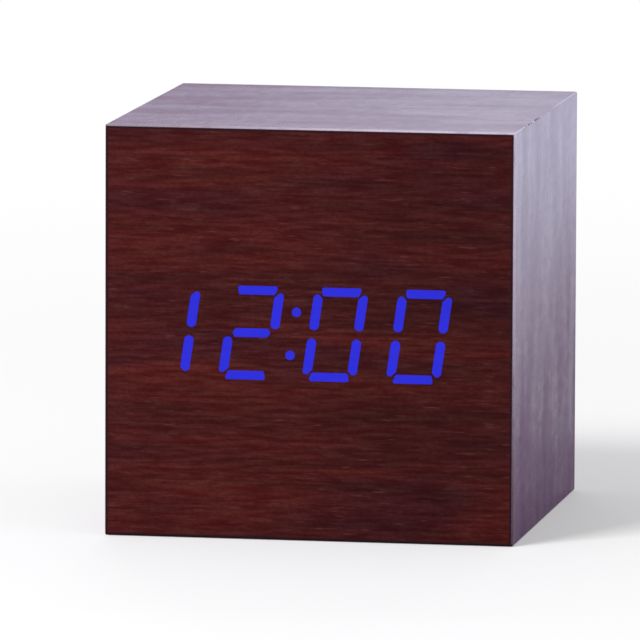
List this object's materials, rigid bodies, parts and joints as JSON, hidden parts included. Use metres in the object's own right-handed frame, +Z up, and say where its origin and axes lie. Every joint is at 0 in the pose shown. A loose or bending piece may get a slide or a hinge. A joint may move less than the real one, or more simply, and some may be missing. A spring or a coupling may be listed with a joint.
{
  "type": "wooden cube alarm clock",
  "caption": "Cube alarm clock in dark wood-grain film: blue segment digits shine through the front; the back has push buttons, a power jack and a hinged battery door.",
  "frame": {"origin": "middle of the underside", "axes": "+X to the right seen from the front, +Y from the front face to the rear, +Z up"},
  "size_m": [0.062, 0.062, 0.062],
  "materials": {
    "wood_film": "dark reddish-brown wood-grain film on board, satin",
    "bare_board": "bare fibreboard, matte",
    "blue_light": "blue light shining through the skin",
    "white_plastic": "white moulded plastic, matte",
    "lens_resin": "milky diffusing resin",
    "led_phosphor": "yellowish resin over the light-emitting chip",
    "circuit_board": "green solder mask on glass-fibre laminate",
    "screw_steel": "zinc-plated steel",
    "black_resin": "black moulded resin, matte",
    "plunger_plastic": "dark grey plastic, matte",
    "tin_can": "drawn tin-plated can",
    "capacitor_sleeve": "dark blue shrink sleeve",
    "grey_ribbon": "grey ribbon insulation",
    "black_plastic": "black moulded plastic, fine spark texture",
    "button_plastic": "black moulded plastic, smooth",
    "white_print": "white printed ink, matte",
    "nickel": "nickel-plated spring metal",
    "cell_jacket": null,
    "red_insulation": "red wire insulation",
    "black_insulation": "black wire insulation"
  },
  "bodies": {
    "case": {"top_wall": "wood_film", "right_wall": "wood_film", "bottom_wall": "wood_film", "left_wall": "wood_film", "front_skin": "wood_film", "corner_blocks": "bare_board", "front_board": "bare_board", "lit_segments": "blue_light", "display_reflector": "white_plastic", "display_socket": "white_plastic", "control_socket": "white_plastic", "segment_lenses": "lens_resin", "led_chips": "led_phosphor", "display_board": "circuit_board", "control_board": "circuit_board", "display_board_screws": "screw_steel", "control_board_screws": "screw_steel", "cover_screws": "screw_steel", "clock_chip": "black_resin", "set_switch": "black_resin", "up_switch": "black_resin", "down_switch": "black_resin", "buzzer": "black_resin", "clock_crystal": "tin_can", "microphone": "tin_can", "supply_capacitor": "capacitor_sleeve", "ribbon_cable": "grey_ribbon", "rear_cover": "black_plastic", "power_jack": "black_plastic", "button_marks": "white_print", "power_jack_pin": "nickel", "power_jack_contact": "nickel", "positive_contact": "nickel", "negative_contact": "nickel", "left_bridge_contact": "nickel", "right_bridge_contact": "nickel", "contact_springs": "nickel", "upper_cell": "cell_jacket", "middle_cell": "cell_jacket", "lower_cell": "cell_jacket", "positive_lead": "red_insulation", "negative_lead": "black_insulation"},
    "set_button": {"set_button": "button_plastic", "set_plunger": "plunger_plastic"},
    "up_button": {"up_button": "button_plastic", "up_plunger": "plunger_plastic"},
    "down_button": {"down_button": "button_plastic", "down_plunger": "plunger_plastic"},
    "battery_door": {"battery_door": "black_plastic", "door_latch": "black_plastic"}
  },
  "joints": [
    {"name": "set_button_press", "type": "slide", "parent": "case", "child": "set_button", "axis": [0, -1, 0], "range_m": [0, 0.0005], "stiffness_N_per_m": 1600},
    {"name": "up_button_press", "type": "slide", "parent": "case", "child": "up_button", "axis": [0, -1, 0], "range_m": [0, 0.0005], "stiffness_N_per_m": 1600},
    {"name": "down_button_press", "type": "slide", "parent": "case", "child": "down_button", "axis": [0, -1, 0], "range_m": [0, 0.0005], "stiffness_N_per_m": 1600},
    {"name": "battery_door_hinge", "type": "hinge", "parent": "case", "child": "battery_door", "pos_m": [0, 0.0287, 0.0096], "axis": [-1, 0, 0], "range_deg": [0, 90], "deforming": ["door_latch"]}
  ]
}
